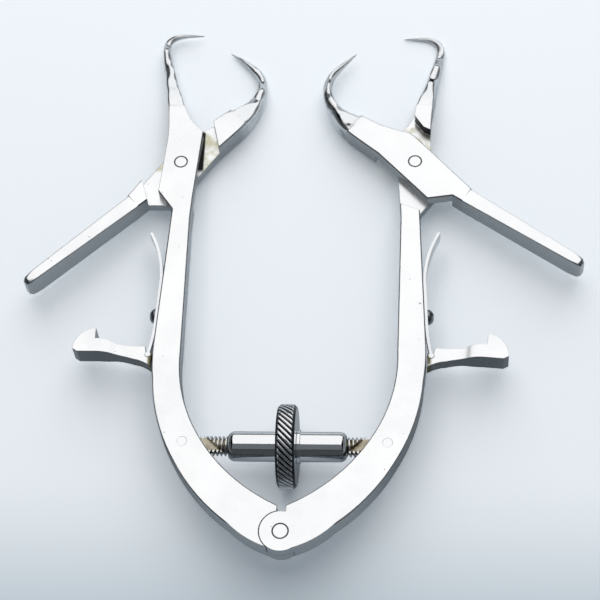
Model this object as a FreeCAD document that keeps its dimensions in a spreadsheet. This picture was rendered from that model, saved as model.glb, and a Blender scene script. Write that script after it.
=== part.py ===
import FreeCAD, Part
import math
import os
import Sketcher
from FreeCAD import Placement, Rotation, Vector

# A self-retaining retractor of polished steel. Two flat curved arms are joined by
# a half-lapped hinge and held apart by a turnbuckle. Each arm ends in a hooked
# prong that works with a pivoted lever, and a sprung catch holds the lever shut.
#
# Millimetres. The hinge axis is the Z axis, the arms lie flat on Z = 0 and the
# prongs point along +Y. Every right-hand piece is the left-hand piece turned by
# half a turn about the long axis at mid-thickness, so one side carries its arm
# leaf on top and the other carries its lever leaf on top.

doc = FreeCAD.newDocument("retractor")
sheet = doc.addObject("Spreadsheet::Sheet", "dims")
row_count = 0


def put(alias, value):
    global row_count
    row_count += 1
    sheet.set("A%d" % row_count, alias)
    sheet.set("B%d" % row_count, str(value))
    sheet.setAlias("B%d" % row_count, alias)


# Arms and their main hinge.
put("arm_thickness", 7.4)
put("lap_gap", 0.06)
put("edge_break", 0.35)
put("hinge_disc_radius", 6.6)
put("socket_gap", 0.15)
put("hinge_pin_radius", 2.4)
put("pin_gap", 0.03)
put("pin_edge_break", 0.2)
put("notch_half_width", 1.45)

# Clamps at the arms' far ends.
put("pivot_across", 39.7)
put("pivot_along", 134.6)
put("lever_pin_radius", 2.1)
put("prong_lift", 1.35)
put("left_lever_opening", 0)
put("right_lever_opening", 8.2)
put("handle_root_width", 5.5)
put("handle_end_width", 3.7)
put("handle_end_thickness", 8.6)

# Turnbuckle.
put("anchor_across", 32.3)
put("anchor_along", 30)
put("rod_pin_radius", 1.5)
put("open_pivot_play", 0.42)
put("open_pivot_slack", 0.16)
put("tongue_thickness", 3.2)
put("tongue_gap", 0.12)
put("thread_radius", 3.175)
put("thread_pitch", 1.27)
put("thread_depth", 0.8)
put("barrel_radius", 4.7625)
put("barrel_length", 37.2)
put("barrel_shift", 0.8)
put("barrel_end_round", 2.6)
put("bore_gap", 0.1)
put("wheel_gap", 0.05)
put("collar_radius", 5.3)
put("collar_width", 1.1)
put("wheel_radius", 13.4)
put("wheel_width", 6)
put("knurl_count", 42)
put("knurl_depth", 0.6)
put("knurl_half_width", 0.5)
put("knurl_advance", 26)

# Leaf springs, their screws and the catches.
put("strip_thickness", 0.9)
put("strip_width", 5)
put("strip_gap", 0.02)
put("bead_radius", 0.9)
put("bead_gap", 0.06)
put("bead_stand_off", 1.5)
put("screw_radius", 1.25)
put("screw_depth", 4.5)
put("screw_gap", 0.02)
put("head_radius", 2.5)
put("head_height", 1.9)
put("driver_slot_width", 0.7)
put("driver_slot_depth", 0.9)
put("catch_thickness", 7.4)
put("catch_neck_thickness", 4.6)
put("left_catch_drop", 0)
put("right_catch_drop", 5)
doc.recompute()


def size(alias):
    return float(getattr(sheet, alias))


thickness = size("arm_thickness")
mid = thickness / 2
leaf_top = mid - size("lap_gap") / 2
pivot = Vector(-size("pivot_across"), size("pivot_along"), 0)
anchor = Vector(-size("anchor_across"), size("anchor_along"), 0)

# The arm's outer edge is straight where the spring lies on it, from low to high.
edge_low = Vector(-44.05, 64, 0)
edge_high = Vector(-41.5, 115.8, 0)

# The strip lies flat from a little below its screw to well above it.
screw_along = 76.5
flat_low = screw_along - 4
flat_high = screw_along + 10.5
straight = edge_high - edge_low
square_to_edge = Rotation(Vector(0, 0, 1), Vector(straight.y, -straight.x, 0))

half_turn = Placement(Vector(0, 0, thickness), Rotation(Vector(0, 1, 0), 180))
sides = {"left": Placement(), "right": half_turn}


def at(x, y, z=0.0):
    return Vector(x, y, z)


def edge_point(along, off):
    """A point beside the straight outer edge, at height along, off mm outboard."""
    share = (along - edge_low.y) / (edge_high.y - edge_low.y)
    return at(edge_low.x + share * (edge_high.x - edge_low.x) - off, along)


def new_body(label):
    body = doc.addObject("PartDesign::Body", label)
    body.Label = label
    return body


def origin_plane(body, role):
    return next(f for f in body.Origin.OriginFeatures if f.Role == role)


def new_sketch(body, name, role="XY_Plane", lift=None):
    """A sketch on one of the body's own origin planes, raised by an expression."""
    sketch = body.newObject("Sketcher::SketchObject", name)
    sketch.AttachmentSupport = (origin_plane(body, role), [""])
    sketch.MapMode = "FlatFace"
    if lift:
        sketch.setExpression("AttachmentOffset.Base.z", lift)
    return sketch


def draw(sketch, start, steps):
    """A closed outline. A step is a point for a line, or (via, point) for an arc."""
    here = start
    for step in steps:
        if isinstance(step, tuple):
            sketch.addGeometry(Part.Arc(here, step[0], step[1]), False)
            here = step[1]
        else:
            sketch.addGeometry(Part.LineSegment(here, step), False)
            here = step
    if here.distanceToPoint(start) > 1e-6:
        sketch.addGeometry(Part.LineSegment(here, start), False)
    for i in range(sketch.GeometryCount):
        sketch.addConstraint(Sketcher.Constraint("Block", i))


def draw_circle(sketch, centre, expression):
    index = sketch.addGeometry(Part.Circle(centre, Vector(0, 0, 1), 1.0), False)
    sketch.addConstraint(Sketcher.Constraint("DistanceX", index, 3, centre.x))
    sketch.addConstraint(Sketcher.Constraint("DistanceY", index, 3, centre.y))
    number = sketch.addConstraint(Sketcher.Constraint("Radius", index, 1.0))
    sketch.renameConstraint(number, "circle_radius_%d" % index)
    sketch.setExpression("Constraints.circle_radius_%d" % index, expression)


def pad(body, sketch, name, length):
    feature = body.newObject("PartDesign::Pad", name)
    feature.Profile = sketch
    feature.setExpression("Length", length)
    doc.recompute()
    return feature


def pocket(body, sketch, name, length, upward=False):
    """Cuts length below the sketch, or above it where upward is set."""
    before = body.Shape.Volume
    feature = body.newObject("PartDesign::Pocket", name)
    feature.Profile = sketch
    feature.setExpression("Length", length)
    feature.Reversed = upward
    doc.recompute()
    if body.Shape.Volume > before - 1e-6:
        raise RuntimeError(name + " cuts nothing")
    return feature


def break_edges(body, feature, name, nearest=0, farthest=1000, amount="dims.edge_break"):
    """Chamfers the flat faces' edges that lie between two distances from the origin."""
    edges = []
    for i, edge in enumerate(feature.Shape.Edges):
        reach = [math.hypot(v.X, v.Y) for v in edge.Vertexes]
        level = edge.BoundBox.ZLength < 1e-6
        if level and min(reach) > nearest and max(reach) < farthest:
            edges.append("Edge%d" % (i + 1))
    chamfer = body.newObject("PartDesign::Chamfer", name)
    chamfer.Base = (feature, edges)
    chamfer.setExpression("Size", amount)
    doc.recompute()
    return chamfer


def rounded_section(body, name, centre, heading, width, height, corner):
    """A rounded rectangle square to the heading, height along Z."""
    forward = at(math.cos(math.radians(heading)), math.sin(math.radians(heading)))
    across = at(-forward.y, forward.x)
    turn = Rotation(across, Vector(0, 0, 1), forward, "ZXY")
    sketch = body.newObject("Sketcher::SketchObject", name)
    sketch.AttachmentSupport = (origin_plane(body, "XY_Plane"), [""])
    sketch.MapMode = "FlatFace"
    sketch.AttachmentOffset = Placement(centre, turn)
    w = width / 2
    h = height / 2
    r = corner
    k = r * (1 - math.sqrt(0.5))
    draw(sketch, at(-w + r, -h), [
        at(w - r, -h), (at(w - k, -h + k), at(w, -h + r)),
        at(w, h - r), (at(w - k, h - k), at(w - r, h)),
        at(-w + r, h), (at(-w + k, h - k), at(-w, h - r)),
        at(-w, -h + r), (at(-w + k, -h + k), at(-w + r, -h))])
    return sketch


def smooth(stations):
    """Adds evenly curved stations between those whose headings differ most."""
    fine = []
    for i in range(len(stations) - 1):
        before = stations[max(i - 1, 0)]
        here = stations[i]
        ahead = stations[i + 1]
        after = stations[min(i + 2, len(stations) - 1)]
        steps = 1 + int(abs(ahead[3] - here[3]) / 14)
        for k in range(steps):
            t = k / steps
            fine.append([
                b + t * (c - a) / 2 + t * t * (2 * a - 5 * b + 4 * c - d) / 2
                + t ** 3 * (3 * b - a - 3 * c + d) / 2
                for a, b, c, d in zip(before, here, ahead, after)])
    fine.append(list(stations[-1]))
    return fine


def add_loft(body, name, stations):
    """A bar or hook through stations (x, y, z, heading, width, height, corner)."""
    sections = []
    for i, (x, y, z, heading, width, height, corner) in enumerate(stations):
        sections.append(rounded_section(body, "%s_section_%d" % (name, i),
                                        at(x, y, z), heading, width, height, corner))
    doc.recompute()
    loft = body.newObject("PartDesign::AdditiveLoft", name)
    loft.Profile = sections[0]
    loft.Sections = [(s, [""]) for s in sections[1:]]
    loft.Ruled = True
    doc.recompute()
    return loft


# The arms. Each is one forging: a bar that curves out from the hinge, runs nearly
# straight up, thins to half its thickness where it is lapped with the lever, and
# ends in a hook that turns inward and lifts a little, so the two hooks can cross.
def make_arm(side):
    arm = new_body(side + "_arm")
    notch = size("notch_half_width")

    outline = new_sketch(arm, side + "_arm_outline")
    draw(outline, at(-notch, 8.7), [
        (at(-18, 20.3), at(-29.3, 35.9)),
        (at(-33.5, 47.8), at(-34.8, 62)),
        at(-35.15, 112),
        at(-34.8, 120),
        at(-32.9, 145.2),
        (at(-33.5, 147.4), at(-35.3, 149.3)),
        (at(-38, 152.9), at(-39.9, 157.8)),
        at(-45.5, 157.8),
        (at(-44.9, 151), at(-44.8, 144.5)),
        at(-46.6, 122.8),
        edge_high,
        edge_low,
        (at(-44, 57.5), at(-43.4, 51.6)),
        (at(-40.9, 37.5), at(-34.8, 23.3)),
        (at(-27.2, 12.2), at(-15.4, 1.4)),
        (at(-9.2, -3.1), at(-3.7, -5.45)),
        at(-notch, -2)])
    bar = pad(arm, outline, side + "_arm_bar", "dims.arm_thickness")
    break_edges(arm, bar, side + "_arm_edges", 7, 149)

    # The hinge half-lap: a round leaf below and a round socket above.
    leaf = new_sketch(arm, side + "_hinge_leaf_circle")
    draw_circle(leaf, at(0, 0), "dims.hinge_disc_radius")
    pad(arm, leaf, side + "_hinge_leaf", "(dims.arm_thickness - dims.lap_gap) / 2")
    socket = new_sketch(arm, side + "_hinge_socket_circle", lift="dims.arm_thickness")
    draw_circle(socket, at(0, 0), "dims.hinge_disc_radius + dims.socket_gap")
    pocket(arm, socket, side + "_hinge_socket",
           "(dims.arm_thickness + dims.lap_gap) / 2")
    bore = new_sketch(arm, side + "_hinge_bore_circle")
    draw_circle(bore, at(0, 0), "dims.hinge_pin_radius + dims.pin_gap")
    pocket(arm, bore, side + "_hinge_bore", "dims.arm_thickness", upward=True)

    # The clamp's half-lap: the lever's leaf swings in this recess, between the
    # step at the bar's end and the shoulder below the hook.
    recess = new_sketch(arm, side + "_clamp_recess_outline")
    draw(recess, at(-33.3, 118.6), [
        at(-29, 121), at(-29, 158), at(-39.9, 158), at(-39.4, 153.2),
        at(-42.4, 148.7), at(-52, 143.6), at(-52, 112.2), at(-41.9, 115.1)])
    pocket(arm, recess, side + "_clamp_recess",
           "(dims.arm_thickness + dims.lap_gap) / 2", upward=True)
    pin_bore = new_sketch(arm, side + "_clamp_bore_circle")
    draw_circle(pin_bore, pivot, "dims.lever_pin_radius + dims.pin_gap")
    pocket(arm, pin_bore, side + "_clamp_bore", "dims.arm_thickness", upward=True)

    # The slot in the inner edge that takes the tongue of the threaded rod, and
    # the bore of the rod's cross pin.
    reach = size("thread_radius") + 0.45
    slot = new_sketch(arm, side + "_tongue_slot_outline",
                      lift="(dims.arm_thickness + dims.tongue_thickness) / 2"
                           " + dims.tongue_gap")
    draw(slot, at(anchor.x, anchor.y + reach), [
        (at(anchor.x - reach, anchor.y), at(anchor.x, anchor.y - reach)),
        at(-20, anchor.y - reach - 2.4), at(-20, anchor.y + reach + 2.4)])
    pocket(arm, slot, side + "_tongue_slot",
           "dims.tongue_thickness + 2 * dims.tongue_gap")
    rod_bore = new_sketch(arm, side + "_rod_pin_bore_circle")
    draw_circle(rod_bore, anchor, "dims.rod_pin_radius + dims.pin_gap")
    pocket(arm, rod_bore, side + "_rod_pin_bore", "dims.arm_thickness", upward=True)

    # The tapped hole in the outer edge for the spring's screw.
    tapped = arm.newObject("PartDesign::SubtractiveCylinder", side + "_screw_hole")
    tapped.setExpression("Radius", "dims.screw_radius + dims.screw_gap")
    tapped.setExpression("Height", "dims.screw_depth + 0.3")
    mouth = edge_point(screw_along, 0)
    tapped.Placement = Placement(mouth + at(0, 0, mid), square_to_edge)
    doc.recompute()

    # The hook, from the flat bar to a needle point.
    lift = size("prong_lift")
    add_loft(arm, side + "_arm_hook", smooth([
        (-42.7, 156.8, mid, 102, 5.6, thickness, 0.4),
        (-43.6, 160.8, mid, 102, 5.3, 7.1, 0.9),
        (-44.6, 165.2, mid + 0.15 * lift, 101, 4.3, 6.2, 1.4),
        (-46.0, 171.5, mid + 0.4 * lift, 100, 3.7, 5.0, 1.5),
        (-47.3, 177.5, mid + 0.75 * lift, 99, 3.1, 3.9, 1.35),
        (-48.1, 182.3, mid + lift, 92, 2.7, 3.0, 1.2),
        (-47.5, 186.2, mid + lift, 55, 2.4, 2.4, 1.1),
        (-44.6, 188.4, mid + lift, 20, 1.9, 1.9, 0.88),
        (-40.5, 189.0, mid + lift, 3, 1.2, 1.2, 0.56),
        (-35.2, 188.9, mid + lift, -3, 0.24, 0.24, 0.11)]))
    arm.Placement = sides[side]
    return arm


# The clamp levers. Each is drawn about its own pivot, as the left one lies when
# its opening is zero: a straight handle, a lapped leaf and a hook.
def make_lever(side):
    lever = new_body(side + "_lever")
    outline = new_sketch(lever, side + "_lever_outline")
    draw(outline, at(-17.3, -13.6), [
        at(-1.6, 9.7),
        (at(0.3, 11.8), at(3.1, 13.1)),
        at(9.8, 16.7),
        at(15.8, 21.6),
        at(21.4, 15.6),
        (at(16.8, 10.4), at(11.9, 5)),
        at(-2.1, -15.2),
        at(-10.5, -15.2),
        at(-13.6, -18.0)])
    blank = pad(lever, outline, side + "_lever_blank", "dims.arm_thickness")
    break_edges(lever, blank, side + "_lever_edges", 0, 40)
    lap = new_sketch(lever, side + "_lever_lap_outline", lift="dims.arm_thickness")
    draw(lap, at(-12.5, -8.3), [
        at(-15, 0), at(-6, 22), at(8.7, 22.5), at(10.2, 16.2), at(13, 4.2),
        at(15, -6), at(0, -20), at(-9, -20), at(-10.3, -15.6)])
    pocket(lever, lap, side + "_lever_lap", "(dims.arm_thickness + dims.lap_gap) / 2")
    bore = new_sketch(lever, side + "_lever_bore_circle")
    draw_circle(bore, at(0, 0), "dims.lever_pin_radius + dims.pin_gap")
    pocket(lever, bore, side + "_lever_bore", "dims.arm_thickness", upward=True)

    # The handle grows thicker and narrower towards its free end.
    root = size("handle_root_width")
    end = size("handle_end_width")
    deep = size("handle_end_thickness")
    add_loft(lever, side + "_lever_handle", [
        (-15.1, -15.75, mid, 223.4, root, thickness, 0.35),
        (-45.4, -44.3, mid, 223.4, end, deep, 0.35),
        (-47.9, -46.6, mid, 223.4, end - 0.4, deep - 0.5, 0.7),
        (-48.6, -47.3, mid, 223.4, end - 1.6, deep - 1.8, 0.9)])

    # The hook, which dips a little where the arm's hook lifts.
    dip = size("prong_lift")
    add_loft(lever, side + "_lever_hook", smooth([
        (15.3, 15.6, mid, 44, 8.3, thickness, 0.5),
        (19.9, 19.6, mid, 47, 7.0, 7.2, 0.9),
        (23.6, 24.4, mid - 0.1 * dip, 64, 4.9, 6.4, 1.4),
        (25.6, 29.8, mid - 0.35 * dip, 83, 3.5, 5.2, 1.45),
        (25.9, 35.0, mid - 0.7 * dip, 99, 3.0, 4.0, 1.3),
        (24.2, 39.6, mid - dip, 123, 2.6, 3.0, 1.15),
        (20.7, 43.3, mid - dip, 138, 2.1, 2.2, 0.98),
        (17.4, 46.1, mid - dip, 142, 1.3, 1.3, 0.61),
        (14.1, 48.5, mid - dip, 144, 0.24, 0.24, 0.11)]))
    swing = Rotation(Vector(0, 0, 1), -size(side + "_lever_opening"))
    lever.Placement = sides[side] * Placement(pivot, swing)
    return lever


# Plain pins with broken ends, flush with the flat faces.
def make_pin(name, where, radius, side):
    pin = new_body(name)
    circle = new_sketch(pin, name + "_circle")
    draw_circle(circle, where, radius)
    shank = pad(pin, circle, name + "_shank", "dims.arm_thickness")
    break_edges(pin, shank, name + "_ends", amount="dims.pin_edge_break")
    pin.Placement = sides[side]
    return pin


# The threaded rods. Drawn about the turnbuckle's axis: a flat tongue at the arm's
# end, a diagonal shoulder and a helical thread, left-handed on the left rod and
# right-handed on the right one, so that one turn of the wheel moves both arms.
def make_rod(side):
    rod = new_body(side + "_rod")
    across = size("anchor_across")
    radius = size("thread_radius")
    open_play = size("open_pivot_play") if side == "right" else 0

    circle = new_sketch(rod, side + "_rod_circle", "YZ_Plane",
                        lift="-dims.anchor_across - dims.thread_radius")
    draw_circle(circle, at(0, 0), "dims.thread_radius")
    pad(rod, circle, side + "_rod_shank",
        "dims.anchor_across + dims.thread_radius - 2.5")

    # The thread is cut before the tongue, whose flats run through its outer end.
    groove = new_sketch(rod, side + "_thread_profile", "XZ_Plane")
    flank = size("thread_depth") * math.tan(math.radians(30)) + 0.08
    start = 3.1 - across
    draw(groove, at(start - flank, radius + 0.1), [
        at(start - 0.08, radius - size("thread_depth")),
        at(start + 0.08, radius - size("thread_depth")),
        at(start + flank, radius + 0.1)])
    doc.recompute()
    thread = rod.newObject("PartDesign::SubtractiveHelix", side + "_thread")
    thread.Profile = groove
    thread.ReferenceAxis = (groove, ["H_Axis"])
    thread.Mode = "pitch-height-angle"
    thread.setExpression("Pitch", "dims.thread_pitch")
    thread.Height = across - 3.1 - 12.5
    thread.Angle = 0
    thread.LeftHanded = side == "left"
    doc.recompute()

    plan = [at(-26.4, radius + 0.5),
            at(-across - radius - 1, radius + 0.5),
            at(-across - radius - 1, -radius - 0.5)]
    for name, upward in (("upper", True), ("lower", False)):
        sign = "" if upward else "-"
        flat = new_sketch(rod, side + "_tongue_" + name, lift=sign + "dims.tongue_thickness / 2")
        draw(flat, at(-18.4, -radius - 0.5), plan)
        pocket(rod, flat, side + "_tongue_flat_" + name, "dims.thread_radius", upward)
    tip = new_sketch(rod, side + "_tongue_tip", lift="dims.thread_radius")
    draw(tip, at(-across, radius), [
        (at(-across - radius, 0), at(-across, -radius)),
        at(-across, -radius - 1), at(-across - radius - 1, -radius - 1),
        at(-across - radius - 1, radius + 1), at(-across, radius + 1)])
    pocket(rod, tip, side + "_tongue_round", "2 * dims.thread_radius")

    # The right rod's cross hole is a short slot, which lets the arms' arc and the
    # thread's straight pull differ a little.
    hole = new_sketch(rod, side + "_rod_hole", lift="dims.thread_radius")
    if open_play:
        r = size("rod_pin_radius") + size("pin_gap")
        out = -across - size("open_pivot_slack")
        inward = -across + open_play
        draw(hole, at(out, r), [
            (at(out - r, 0), at(out, -r)), at(inward, -r),
            (at(inward + r, 0), at(inward, r))])
    else:
        draw_circle(hole, at(-across, 0), "dims.rod_pin_radius + dims.pin_gap")
    pocket(rod, hole, side + "_rod_cross_hole", "2 * dims.thread_radius")
    rod.Placement = sides[side] * Placement(at(0, anchor.y, mid), Rotation())
    return rod


# The barrel that both rods screw into. Its ends are domed, and a collar beside
# the wheel's seat locates the wheel.
def make_barrel():
    barrel = new_body("barrel")
    half = size("barrel_length") / 2
    outer = size("barrel_radius")
    bore = size("thread_radius") + size("bore_gap")
    lip = bore + size("edge_break")
    dome = size("barrel_end_round")
    lean = math.acos((dome - outer + lip) / dome)
    reach = dome * math.sin(lean)
    rise = dome * (1 - math.cos(lean / 2))
    step = dome * math.sin(lean / 2)
    seat = size("wheel_width") / 2 + size("wheel_gap")
    profile = new_sketch(barrel, "barrel_profile", "XZ_Plane")
    draw(profile, at(-half, bore), [
        at(-half, lip),
        (at(reach - half - step, outer - rise), at(reach - half, outer)),
        at(seat, outer),
        at(seat, size("collar_radius")),
        at(seat + size("collar_width"), size("collar_radius")),
        at(seat + size("collar_width"), outer),
        at(half - reach, outer),
        (at(half - reach + step, outer - rise), at(half, lip)),
        at(half, bore)])
    doc.recompute()
    turned = barrel.newObject("PartDesign::Revolution", "barrel_turned")
    turned.Profile = profile
    turned.ReferenceAxis = (profile, ["H_Axis"])
    turned.Angle = 360
    doc.recompute()
    barrel.Placement = Placement(at(size("barrel_shift"), anchor.y, mid), Rotation())
    return barrel


# The thumb wheel. Its slanted teeth are what a ring of helical grooves leaves. The
# blank is turned in two halves, so that no groove crosses the seam of a full turn.
def make_wheel():
    wheel = new_body("wheel")
    crest = size("wheel_radius")
    deep = size("knurl_depth")
    edge = size("wheel_width") / 2
    bore = size("barrel_radius") + size("wheel_gap")
    bevel = deep + size("edge_break")
    for name, sense in (("upper", 1), ("lower", -1)):
        profile = new_sketch(wheel, "wheel_profile_" + name, "XZ_Plane")
        draw(profile, at(-edge, sense * bore), [
            at(-edge, sense * (crest - bevel)),
            at(bevel - edge, sense * crest),
            at(edge - bevel, sense * crest),
            at(edge, sense * (crest - bevel)),
            at(edge, sense * bore)])
        doc.recompute()
        turned = wheel.newObject("PartDesign::Revolution", "wheel_half_" + name)
        turned.Profile = profile
        turned.ReferenceAxis = (profile, ["H_Axis"])
        turned.Angle = 180
        turned.Refine = False
        doc.recompute()

    # One groove, from a little before one face to a little beyond the other.
    run_out = 1.2
    over = deep / 2
    start = -edge - run_out
    slope = size("knurl_half_width") / deep
    floor = 0.06
    groove = new_sketch(wheel, "wheel_groove_profile", "XZ_Plane")
    draw(groove, at(start - floor - slope * (deep + over), crest + over), [
        at(start - floor, crest - deep),
        at(start + floor, crest - deep),
        at(start + floor + slope * (deep + over), crest + over)])
    doc.recompute()
    cut = wheel.newObject("PartDesign::SubtractiveHelix", "wheel_groove")
    cut.Profile = groove
    cut.ReferenceAxis = (groove, ["H_Axis"])
    cut.Mode = "pitch-height-angle"
    cut.setExpression("Pitch", "dims.wheel_width * 360 / dims.knurl_advance")
    cut.Height = 2 * (edge + run_out)
    cut.Angle = 0
    cut.LeftHanded = False
    cut.Refine = False
    doc.recompute()
    ring = wheel.newObject("PartDesign::PolarPattern", "wheel_grooves")
    ring.Originals = [cut]
    ring.Axis = (origin_plane(wheel, "X_Axis"), [""])
    ring.Angle = 360
    ring.setExpression("Occurrences", "dims.knurl_count")
    ring.Refine = False
    wheel.Tip = ring
    doc.recompute()
    wheel.Placement = Placement(at(size("barrel_shift"), anchor.y, mid), Rotation())
    return wheel


def bend(along, off, radius, angle):
    """A point on an arc that leaves the outer edge's line at a height along."""
    turn = math.radians(angle)
    return edge_point(along + radius * math.sin(turn),
                      off + abs(radius) * (1 - math.cos(turn)))


# The leaf springs: a bent strip that lies on the arm's outer edge under its
# screw, bows out towards the handle, and carries the catch on a rolled bead.
def make_leaf_spring(side):
    spring = new_body(side + "_leaf_spring")
    strip = size("strip_thickness")
    near = size("strip_gap")
    far = near + strip
    wide = 39.6
    low = 59.2
    profile = new_sketch(spring, side + "_strip_outline",
                         lift="(dims.arm_thickness - dims.strip_width) / 2")
    draw(profile, edge_point(flat_high, near), [
        (bend(flat_high, near, wide + strip / 2, 15.3),
         bend(flat_high, near, wide + strip / 2, 30.7)),
        bend(flat_high, far, wide - strip / 2, 30.7),
        (bend(flat_high, far, wide - strip / 2, 15.3), edge_point(flat_high, far)),
        edge_point(flat_low, far),
        (bend(flat_low, far, strip / 2 - low, 5.4),
         bend(flat_low, far, strip / 2 - low, 10.8)),
        bend(flat_low, near, -low - strip / 2, 10.8),
        (bend(flat_low, near, -low - strip / 2, 5.4), edge_point(flat_low, near))])
    pad(spring, profile, side + "_strip", "dims.strip_width")
    bead = new_sketch(spring, side + "_bead_circle",
                      lift="(dims.arm_thickness - dims.strip_width) / 2")
    draw_circle(bead, bead_centre, "dims.bead_radius")
    pad(spring, bead, side + "_bead", "dims.strip_width")
    hole = spring.newObject("PartDesign::SubtractiveCylinder", side + "_strip_hole")
    hole.setExpression("Radius", "dims.screw_radius + dims.screw_gap")
    hole.Height = 4 * far
    hole.Placement = Placement(edge_point(screw_along, 0) + at(0, 0, mid),
                               square_to_edge) * Placement(at(0, 0, -2 * far), Rotation())
    doc.recompute()
    spring.Placement = sides[side]
    return spring


# The domed, slotted screws that hold the strips. Drawn with +Z into the arm.
def make_screw(side):
    screw = new_body(side + "_spring_screw")
    seat = -(size("strip_gap") * 2 + size("strip_thickness"))
    shank = size("screw_radius")
    head = size("head_radius")
    top = seat - size("head_height")
    profile = new_sketch(screw, side + "_screw_profile", "XZ_Plane")
    draw(profile, at(0, top), [
        at(0, size("screw_depth")),
        at(shank - 0.3, size("screw_depth")),
        at(shank, size("screw_depth") - 0.3),
        at(shank, seat),
        at(head, seat),
        at(head, seat - 0.5),
        (at(head * 0.64, top + 0.24), at(0, top))])
    doc.recompute()
    turned = screw.newObject("PartDesign::Revolution", side + "_screw_turned")
    turned.Profile = profile
    turned.ReferenceAxis = (profile, ["V_Axis"])
    turned.Angle = 360
    doc.recompute()
    half = size("driver_slot_width") / 2
    slot = new_sketch(screw, side + "_driver_slot_outline", "YZ_Plane",
                      lift="dims.head_radius + 0.5")
    draw(slot, at(-half, top - 1), [
        at(half, top - 1), at(half, top + size("driver_slot_depth")),
        at(-half, top + size("driver_slot_depth"))])
    pocket(screw, slot, side + "_driver_slot", "2 * dims.head_radius + 1")
    screw.Placement = sides[side] * Placement(
        edge_point(screw_along, 0) + at(0, 0, mid), square_to_edge)
    return screw


# The catches. Each rocks on its strip's bead, and its nose hooks over the end of
# the closed handle. Drawn about the bead; the head is full thickness and the neck
# is relieved on both faces.
def make_catch(side):
    catch = new_body(side + "_catch")
    socket = size("bead_radius") + size("bead_gap")
    left_lip = at(-0.64 * socket, 0.768 * socket)
    right_lip = at(0.766 * socket, 0.643 * socket)
    outline = new_sketch(catch, side + "_catch_outline",
                         lift="(dims.arm_thickness - dims.catch_thickness) / 2")
    draw(outline, at(-1.05, 3.0), [
        left_lip,
        (at(0, -socket), right_lip),
        at(1.05, 0.95),
        (at(1.35, 0.1), at(1.1, -0.8)),
        at(1.05, -3.2),
        at(1.05, -4.25),
        (at(-0.8, -3.0), at(-4.6, -1.7)),
        (at(-10.9, -0.2), at(-17, 0.4)),
        at(-23, 0.4),
        at(-24.6, 1.4),
        (at(-22, 7.0), at(-18.2, 8.9)),
        at(-17.4, 8.9),
        at(-17.4, 5.2),
        (at(-13.7, 4.8), at(-10.2, 3.5)),
        at(-5, 3.0)])
    pad(catch, outline, side + "_catch_blank", "dims.catch_thickness")
    neck = size("catch_neck_thickness") / 2
    full = size("catch_thickness") / 2
    blend = (full - neck) / 2
    for name, sense in (("upper", 1), ("lower", -1)):
        relief = new_sketch(catch, side + "_catch_relief_" + name, "XZ_Plane",
                            lift="8")
        draw(relief, at(-16, mid + sense * full), [
            (at(-13.6, mid + sense * (full - 0.3 * blend)),
             at(-11.8, mid + sense * (full - blend))),
            (at(-10, mid + sense * (neck + 0.3 * blend)), at(-7.6, mid + sense * neck)),
            at(3, mid + sense * neck),
            at(3, mid + sense * (full + 1)),
            at(-16, mid + sense * (full + 1))])
        pocket(catch, relief, side + "_catch_neck_" + name, "24")
    drop = Rotation(Vector(0, 0, 1), size(side + "_catch_drop"))
    catch.Placement = sides[side] * Placement(bead_centre, drop)
    return catch


bead_centre = edge_point(61.4, size("bead_stand_off"))

parts = [make_pin("hinge_pin", at(0, 0), "dims.hinge_pin_radius", "left")]
for side in ("left", "right"):
    parts.append(make_arm(side))
    parts.append(make_lever(side))
    parts.append(make_pin(side + "_lever_pin", pivot, "dims.lever_pin_radius", side))
    parts.append(make_rod(side))
    parts.append(make_pin(side + "_rod_pin", anchor, "dims.rod_pin_radius", side))
    parts.append(make_leaf_spring(side))
    parts.append(make_screw(side))
    parts.append(make_catch(side))
parts.append(make_barrel())
parts.append(make_wheel())
doc.recompute()

for item in doc.Objects:
    if "Invalid" in item.State or "Error" in item.State:
        raise RuntimeError(item.Name + " didn't recompute")

os.makedirs("parts", exist_ok=True)
for part in parts:
    shape = part.Shape
    if shape.isNull() or not shape.isValid() or len(shape.Solids) != 1:
        raise RuntimeError(part.Label + " isn't one valid solid")
    shape.exportStep(os.path.join("parts", part.Label + ".step"))
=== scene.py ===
import math

import bpy
from mathutils import Euler, Matrix, Vector


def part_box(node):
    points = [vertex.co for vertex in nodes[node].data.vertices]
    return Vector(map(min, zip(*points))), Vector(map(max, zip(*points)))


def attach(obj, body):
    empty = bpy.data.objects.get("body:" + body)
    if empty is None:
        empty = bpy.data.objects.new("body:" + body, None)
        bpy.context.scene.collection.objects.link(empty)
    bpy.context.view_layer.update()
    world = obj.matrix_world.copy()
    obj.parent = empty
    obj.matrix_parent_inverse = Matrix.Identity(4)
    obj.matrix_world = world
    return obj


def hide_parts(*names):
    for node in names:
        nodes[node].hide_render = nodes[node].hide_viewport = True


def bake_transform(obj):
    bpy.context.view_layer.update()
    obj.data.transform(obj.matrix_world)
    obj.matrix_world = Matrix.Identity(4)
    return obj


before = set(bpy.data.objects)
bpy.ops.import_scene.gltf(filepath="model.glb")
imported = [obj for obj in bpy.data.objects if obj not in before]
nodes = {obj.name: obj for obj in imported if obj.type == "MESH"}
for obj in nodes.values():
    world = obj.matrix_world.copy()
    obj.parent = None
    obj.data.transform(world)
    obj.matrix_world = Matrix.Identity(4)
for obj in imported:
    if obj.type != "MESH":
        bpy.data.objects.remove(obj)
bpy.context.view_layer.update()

scene = bpy.context.scene


# The two arms
# Stainless forgings, ground flat on both broad faces and polished on their edges.
# The flats are satin with a few pits, the walls are painted a darker grey as shade,
# and painted black shade lines the joints.

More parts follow.
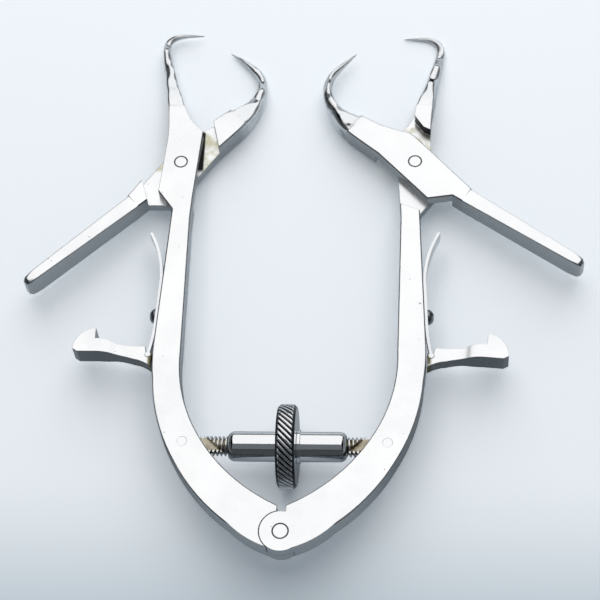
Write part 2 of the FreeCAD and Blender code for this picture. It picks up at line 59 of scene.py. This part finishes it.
class Finish:
    """A surface finish under construction: its shader, colour, roughness and height.

    Lengths are in metres, and a share or mask runs from 0 to 1.
    """

    def __init__(self, name, shader="BsdfPrincipled"):
        self.material = bpy.data.materials.new(name)
        self.material.use_nodes = True
        self.tree = self.material.node_tree
        self.tree.nodes.clear()
        self.shader = self.add(shader)
        output = self.add("OutputMaterial")
        self.tree.links.new(self.shader.outputs["BSDF"], output.inputs["Surface"])
        self.place = self.add("TexCoord")
        axes = self.add("SeparateXYZ")
        self.tree.links.new(self.place.outputs["Object"], axes.inputs[0])
        self.x, self.y, self.z = axes.outputs
        self.flat = None
        self.colour = None
        self.rough = None
        self.height = None
        self.rounded = None

    def add(self, kind):
        return self.tree.nodes.new("ShaderNode" + kind)

    def feed(self, socket, value):
        """Sets a socket to a constant, or links it to another node's output."""
        if isinstance(value, bpy.types.NodeSocket):
            self.tree.links.new(value, socket)
        elif isinstance(value, tuple):
            socket.default_value = value + (1.0,) * (4 - len(value))
        else:
            socket.default_value = value

    def calc(self, operation, first, second=0.0):
        node = self.add("Math")
        node.operation = operation
        self.feed(node.inputs[0], first)
        self.feed(node.inputs[1], second)
        return node.outputs[0]

    def times(self, first, *others):
        """The product of masks and numbers."""
        for other in others:
            first = self.calc("MULTIPLY", first, other)
        return first

    def without(self, share):
        return self.calc("SUBTRACT", 1.0, share)

    def step(self, value, low, high, to_low=0.0, to_high=1.0):
        """A soft step from one value to another, as the input goes from low to high."""
        node = self.add("MapRange")
        node.interpolation_type = "SMOOTHSTEP"
        for socket, number in zip(node.inputs, (value, low, high, to_low, to_high)):
            self.feed(socket, number)
        return node.outputs["Result"]

    def noise(self, scale, detail=3.0):
        node = self.add("TexNoise")
        node.inputs["Scale"].default_value = scale
        node.inputs["Detail"].default_value = detail
        self.tree.links.new(self.place.outputs["Object"], node.inputs["Vector"])
        return node.outputs["Fac"]

    def blend(self, share, first, second):
        """A colour between two others."""
        node = self.add("Mix")
        node.data_type = "RGBA"
        self.feed(node.inputs[0], share)
        self.feed(node.inputs[6], first)
        self.feed(node.inputs[7], second)
        return node.outputs[2]

    def cover(self, share, colour):
        """Lays another colour over the finish."""
        self.colour = self.blend(share, self.colour, colour)

    def facing(self, axis):
        """How squarely the surface faces an axis, either way along it."""
        normal = self.add("SeparateXYZ")
        self.tree.links.new(self.place.outputs["Normal"], normal.inputs[0])
        return self.calc("ABSOLUTE", normal.outputs[axis])

    def reach(self, first, second, centre):
        """The distance from a point in two of the object's axes."""
        near = self.calc("SUBTRACT", first, centre[0])
        far = self.calc("SUBTRACT", second, centre[1])
        return self.calc("SQRT", self.calc("ADD", self.times(near, near),
                                           self.times(far, far)))

    def ring(self, centre, radius, width):
        """A thin ring round an upright axis."""
        off = self.calc("ABSOLUTE", self.calc(
            "SUBTRACT", self.reach(self.x, self.y, centre), radius))
        return self.step(off, width * 0.35, width * 0.65, 1.0, 0.0)

    def round_corners(self, radius):
        """Shades corners as if they were rounded."""
        node = self.add("Bevel")
        node.samples = 8
        self.feed(node.inputs["Radius"], radius)
        self.rounded = node.outputs[0]

    def done(self):
        """Joins what was gathered to the shader and gives the material."""
        self.shader.inputs["Metallic"].default_value = 1.0
        self.feed(self.shader.inputs["Base Color"], self.colour)
        self.feed(self.shader.inputs["Roughness"], self.rough)
        normal = self.rounded
        if self.height:
            bump = self.add("Bump")
            bump.inputs["Distance"].default_value = 1.0
            self.feed(bump.inputs["Height"], self.height)
            if normal:
                self.tree.links.new(normal, bump.inputs["Normal"])
            normal = bump.outputs["Normal"]
        if normal:
            self.tree.links.new(normal, self.shader.inputs["Normal"])
        return self.material


def forged_steel(name, wall=(0.43, 0.455, 0.475)):
    """Satin flats with a few small pits, and smoother walls painted a darker grey as shade.
    """
    steel = Finish(name)
    steel.flat = steel.step(steel.facing(2), 0.8, 0.95)
    pale = steel.blend(steel.step(steel.noise(30), 0.3, 0.7),
                       (0.90, 0.91, 0.92), (0.94, 0.945, 0.95))
    # Painted shade: the walls take a darker grey than the flats.
    steel.colour = steel.blend(steel.flat, wall, pale)
    steel.rough = steel.step(steel.noise(90), 0.35, 0.65, 0.23, 0.3)
    steel.height = steel.times(steel.noise(160, 2.0), 0.00001)
    pits = steel.step(steel.noise(560, 1.0), 0.235, 0.215)
    steel.cover(steel.times(pits, steel.flat, 0.6), (0.2, 0.21, 0.22))
    return steel


def shade_joints(steel, *lines):
    """Paints black shade into the joint lines on the flats."""
    joint_shade = lines[0]
    for line in lines[1:]:
        joint_shade = steel.calc("MAXIMUM", joint_shade, line)
    steel.cover(steel.times(joint_shade, steel.flat, 0.9), (0.03, 0.035, 0.04))


def polish_hook(steel, pivot):
    """A mirror-polished hook, round and a little uneven, beyond the clamp's pivot."""
    root = 0.0215
    past_root = 0.029
    hook = steel.times(steel.step(steel.reach(steel.x, steel.y, pivot), root, past_root),
                       steel.step(steel.y, pivot.y + 0.0104, pivot.y + 0.0154))
    steel.cover(hook, (0.80, 0.82, 0.84))
    steel.rough = steel.calc("ADD", steel.times(hook, 0.09),
                             steel.times(steel.rough, steel.without(hook)))
    waves = steel.times(steel.calc("SUBTRACT", steel.noise(150, 0.0), 0.5), 0.0036)
    steel.height = steel.calc("ADD", steel.height, steel.times(waves, hook))
    steel.round_corners(steel.calc("ADD", steel.times(hook, 0.002), 0.0003))


def stain_and_shade_lap(steel, pivot):
    """Yellow stain on the lapped step at half thickness, and painted black shade by the arm's
    edge.
    """
    lap_end = 0.016
    lap = steel.times(
        steel.step(steel.z, mid_height - 0.0003, mid_height - 0.0001),
        steel.step(steel.z, mid_height + 0.0002, mid_height),
        steel.step(steel.reach(steel.x, steel.y, pivot), lap_end + 0.0005, lap_end - 0.0005),
        steel.step(steel.y, pivot.y - 0.0026, pivot.y - 0.0006))
    patches = steel.step(steel.noise(300), 0.3, 0.7)
    steel.cover(steel.times(lap, patches, 0.75), (0.47, 0.45, 0.26))
    # Painted shade: a black band on the lap, by the arm's edge.
    inside_pivot = steel.calc("SUBTRACT", abs(pivot.x), steel.calc("ABSOLUTE", steel.x))
    corner = steel.times(steel.step(inside_pivot, 0.0076, 0.0070),
                         steel.step(inside_pivot, 0.0047, 0.0052))
    steel.cover(steel.times(lap, corner), (0.02, 0.02, 0.02))


def crease_group(limit):
    """Welds a CAD mesh and marks its edges above an angle in degrees as sharp."""
    group = bpy.data.node_groups.new("creases", "GeometryNodeTree")
    for way in ("INPUT", "OUTPUT"):
        group.interface.new_socket("Geometry", in_out=way, socket_type="NodeSocketGeometry")
    source = group.nodes.new("NodeGroupInput")
    target = group.nodes.new("NodeGroupOutput")
    weld = group.nodes.new("GeometryNodeMergeByDistance")
    weld.inputs["Distance"].default_value = 0.000002
    smooth = group.nodes.new("GeometryNodeSetShadeSmooth")
    angle = group.nodes.new("GeometryNodeInputMeshEdgeAngle")
    above = group.nodes.new("FunctionNodeCompare")
    above.inputs[1].default_value = math.radians(limit)
    sharp = group.nodes.new("GeometryNodeSetShadeSmooth")
    sharp.domain = "EDGE"
    sharp.inputs["Shade Smooth"].default_value = False
    link = group.links.new
    link(source.outputs[0], weld.inputs["Geometry"])
    link(weld.outputs[0], smooth.inputs[0])
    link(smooth.outputs[0], sharp.inputs[0])
    link(angle.outputs["Unsigned Angle"], above.inputs[0])
    link(above.outputs[0], sharp.inputs["Selection"])
    link(sharp.outputs[0], target.inputs[0])
    return group


creases = crease_group(32)


def dress(name, material, edge_radius=0.0):
    """Gives a CAD node its finish, crisp creases and small rounded edges."""
    piece = nodes[name]
    piece.data.materials.clear()
    piece.data.materials.append(material)
    crease = piece.modifiers.new("crease", "NODES")
    crease.node_group = creases
    if edge_radius:
        edge = piece.modifiers.new("edge", "BEVEL")
        edge.width = edge_radius
        edge.segments = 2
        edge.limit_method = "ANGLE"
        edge.angle_limit = math.radians(35)
        edge.harden_normals = True
    return piece


def middle(name):
    """The middle of a CAD node's box."""
    low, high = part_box(name)
    return (low + high) / 2


sides = ("left", "right")
hinge = (0.0, 0.0)
mid_height = middle("left_arm").z
clamp_pivot = {side: middle(side + "_lever_pin").xy for side in sides}
forged_edge = 0.00012
lever_bore_line = (0.0022, 0.0004)


def leaf_end(steel):
    """The line round a hinge leaf's end, on the half where it meets the other arm.

    That is the left half from above, and the right half from below.
    """
    across = steel.times(steel.x, steel.calc("SUBTRACT", steel.z, mid_height))
    return steel.times(steel.ring(hinge, 0.00668, 0.0003),
                       steel.step(across, 0.000006, 0.000003))


for side in sides:
    steel = forged_steel(side + "_arm_steel")
    # Painted black shade fills the lines round the leaf's end, the hinge pin's bore and the
    # lever's bore.
    shade_joints(steel, leaf_end(steel), steel.ring(hinge, 0.0025, 0.0004),
                steel.ring(clamp_pivot[side], *lever_bore_line))
    polish_hook(steel, clamp_pivot[side])
    # The foot of the arm's shoulder, where the lever swings clear, is painted black as shade.
    shaded_foot = (math.copysign(0.0419, clamp_pivot[side].x), 0.1495)
    steel.cover(steel.times(
        steel.step(steel.reach(steel.x, steel.y, shaded_foot), 0.0045, 0.0035),
        steel.without(steel.flat)), (0.03, 0.035, 0.04))
    stain_and_shade_lap(steel, clamp_pivot[side])
    dress(side + "_arm", steel.done(), forged_edge)

# The hinge pin and the small pins
# Turned steel pins, riveted and ground flush with the flats. A dark line of painted
# shade shows round the hinge's and the levers' pins.
steel = forged_steel("pin_steel")
shade_joints(steel, steel.ring(hinge, 0.00236, 0.0003),
            *(steel.ring(clamp_pivot[side], 0.00206, 0.0003) for side in sides))
pin_steel = steel.done()
for name in ("hinge_pin", "left_lever_pin", "right_lever_pin"):
    dress(name, pin_steel)

# The rods' pins fill their bores to the brim, so no line shows round them.
bore_play = 0.00003
for side in sides:
    low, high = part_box(side + "_rod_pin")
    bpy.ops.mesh.primitive_cylinder_add(
        vertices=96, radius=(high.x - low.x) / 2 + bore_play, depth=high.z - low.z,
        location=middle(side + "_rod_pin"))
    flush = bpy.context.object
    flush.name = side + "_rod_pin_ground"
    flush.data.materials.append(pin_steel)
    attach(flush, side + "_frame")
    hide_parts(side + "_rod_pin")

# The clamp levers
# Forged like the arms and lapped into them at half thickness. The handle is
# deeper than it is wide, and the hook is drawn to a needle point.
for side in sides:
    steel = forged_steel(side + "_lever_steel")
    shade_joints(steel, steel.ring(clamp_pivot[side], *lever_bore_line))
    polish_hook(steel, clamp_pivot[side])
    stain_and_shade_lap(steel, clamp_pivot[side])
    dress(side + "_lever", steel.done(), forged_edge)

# The turnbuckle
# Two threaded rods with flat tongues, a mirror-polished barrel and a wheel
# with slanted teeth for the fingers.
screw_axis = middle("wheel").yz


def rod_steel(name):
    """Bright thread crests, with brown stain in the grooves and on the tongue."""
    steel = Finish(name)
    deep = steel.step(steel.reach(steel.y, steel.z, screw_axis), 0.0029, 0.0024)
    stain = steel.step(steel.noise(220), 0.35, 0.65)
    brown = steel.blend(stain, (0.16, 0.13, 0.08), (0.50, 0.46, 0.36))
    steel.colour = steel.blend(deep, (0.85, 0.85, 0.84), brown)
    steel.rough = steel.step(stain, 0.0, 1.0, 0.2, 0.34)
    return steel.done()


def mirror_steel(name):
    steel = Finish(name)
    steel.colour = steel.blend(steel.noise(40), (0.82, 0.83, 0.84), (0.86, 0.87, 0.88))
    steel.rough = steel.step(steel.noise(60), 0.35, 0.65, 0.05, 0.09)
    return steel


for side in sides:
    dress(side + "_rod", rod_steel(side + "_rod_steel"))
dress("barrel", mirror_steel("barrel_steel").done(), 0.0001)

# Painted shade darkens the wheel's grooves, which lie below its rim but not on its
# end faces, and a rougher finish dulls them.
rim_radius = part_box("wheel")[1].z - screw_axis[1]
steel = mirror_steel("wheel_steel")
below_rim = steel.calc("SUBTRACT", rim_radius, steel.reach(steel.y, steel.z, screw_axis))
groove_shade = steel.times(steel.step(below_rim, 0.00012, 0.00032),
                     steel.step(steel.facing(0), 0.97, 0.9))
steel.cover(groove_shade, (0.05, 0.055, 0.065))
steel.rough = steel.calc("ADD", steel.rough, steel.times(groove_shade, 0.2))
steel.round_corners(0.00045)
dress("wheel", steel.done(), 0.00005)

# The leaf springs and their screws
# Rolled spring strip under a domed, slotted screw. The strip's free end stands
# off the arm.


def plain_steel(name, colour, rough):
    steel = Finish(name)
    dull = tuple(part * 0.9 for part in colour)
    steel.colour = steel.blend(steel.step(steel.noise(60), 0.35, 0.65), dull, colour)
    steel.rough = steel.step(steel.noise(120), 0.35, 0.65, rough, rough + 0.08)
    return steel.done()


strip_steel = plain_steel("strip_steel", (0.86, 0.88, 0.90), 0.2)
screw_steel = plain_steel("screw_steel", (0.25, 0.27, 0.29), 0.26)
for side in sides:
    straight = dress(side + "_leaf_spring", strip_steel, 0.0001)
    strip = straight.copy()
    strip.data = straight.data.copy()
    strip.name = side + "_strip"
    strip.parent = None
    scene.collection.objects.link(strip)
    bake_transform(strip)
    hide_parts(side + "_leaf_spring")
    dress(side + "_spring_screw", screw_steel, 0.00008)

# The catches
# Small forged hooks with satin faces and polished sides painted darker as shade.
# Olive grime sits where they meet the arms' edges.
# Painted shade: the catches' walls take a darker grey still.
steel = forged_steel("catch_steel", wall=(0.24, 0.26, 0.27))
root = steel.step(steel.calc("ABSOLUTE", steel.x), 0.0462, 0.0450)
patches = steel.step(steel.noise(400), 0.25, 0.5, 0.5, 1.0)
steel.cover(steel.times(root, patches), (0.13, 0.12, 0.06))
catch_steel = steel.done()
for side in sides:
    dress(side + "_catch", catch_steel, forged_edge)

# The paper
# The instrument lies on pale bluish paper, on its wheel's rim and its hooks. The
# row frame is level with the arms, so the paper slopes by about 4 degrees.
wheel_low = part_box("wheel")[0].z
wheel_y = screw_axis[0]
hook_y = 0.165
bpy.ops.mesh.primitive_plane_add(size=6)
floor = bpy.context.object
floor.name = "floor"
floor.rotation_euler = Euler((math.atan2(-wheel_low, hook_y - wheel_y), 0, 0))
floor.location = (0, wheel_y, wheel_low)
paper = Finish("paper", "BsdfDiffuse")
ray = paper.add("LightPath")
# Rays from the eye see the paper a little brighter than it lights the object, and
# polished metal sees it darker round the turnbuckle, where the arms shade it.
lighting = (0.78, 0.83, 0.87)
# Painted shade: rays from the eye see the paper darker towards the front.
seen_front_shaded = paper.blend(paper.step(paper.y, -0.075, 0.0), (0.86, 1.00, 1.11), (1.56, 1.62, 1.67))
shaded = paper.blend(paper.step(paper.y, -0.035, 0.0), (1.05, 1.13, 1.20), (0.54, 0.59, 0.64))
mirrored = paper.blend(paper.step(paper.y, 0.01, 0.055), shaded, (1.10, 1.17, 1.22))
tone = paper.blend(ray.outputs["Is Camera Ray"], lighting, seen_front_shaded)
tone = paper.blend(ray.outputs["Is Glossy Ray"], tone, mirrored)
paper.feed(paper.shader.inputs["Color"], tone)
floor.data.materials.append(paper.material)

# The light
# One large soft box reaches from behind to just past the zenith. The dim cards
# stand for the room round it, and only polished metal sees them.
centre = Vector((0.0, 0.095, 0.004))


def lamp(name, toward, distance, width, height, glow, colour=(1, 1, 1)):
    """An area lamp in a direction from the object's centre, facing it.

    Its glow is the brightness that a mirror would show.
    """
    data = bpy.data.lights.new(name, "AREA")
    data.shape = "RECTANGLE"
    data.size = width
    data.size_y = height
    data.energy = glow * math.pi * width * height
    data.color = colour
    thing = bpy.data.objects.new(name, data)
    scene.collection.objects.link(thing)
    heading = Vector(toward).normalized()
    thing.location = centre + heading * distance
    thing.rotation_euler = (-heading).to_track_quat("-Z", "Y").to_euler()
    return thing


lamp("soft_box", (0.04, 0.566, 0.824), 1.15, 1.4, 2.03, 1.08)
for name, toward, width, height, glow in (
        ("ceiling", (0.0, -0.46, 0.89), 1.8, 0.90, 0.17),
        ("room", (0.0, -0.93, 0.36), 3.0, 0.95, 0.07),
        ("left_wall", (-0.95, 0.1, 0.3), 2.0, 0.9, 0.09),
        ("right_wall", (0.95, 0.1, 0.3), 2.0, 0.9, 0.2)):
    card = lamp(name, toward, 1.3, width, height, glow, (0.86, 0.93, 1.0))
    card.visible_diffuse = False

world = bpy.data.worlds.new("studio")
world.use_nodes = True
scene.world = world
background = world.node_tree.nodes["Background"]
background.inputs["Color"].default_value = (0.88, 0.93, 0.97, 1)
background.inputs["Strength"].default_value = 0.22
world.cycles_visibility.glossy = False

# The camera
# It stands where the photograph was taken from, fitted to the outlines of the
# arms and of the turnbuckle.
camera_data = bpy.data.cameras.new("camera")
camera_data.sensor_width = 36
camera_data.lens = 120.04
camera_data.clip_start = 0.01
camera = bpy.data.objects.new("camera", camera_data)
scene.collection.objects.link(camera)
eye = Vector((0.0512, -0.2363, 0.5731))
right = Vector((0.9972, 0.0388, -0.0633))
forward = Vector((-0.0742, 0.4877, -0.8699))
up = right.cross(forward)
camera.matrix_world = Matrix((
    (right.x, up.x, -forward.x, eye.x),
    (right.y, up.y, -forward.y, eye.y),
    (right.z, up.z, -forward.z, eye.z),
    (0, 0, 0, 1)))
scene.camera = camera
scene.view_settings.view_transform = "Standard"
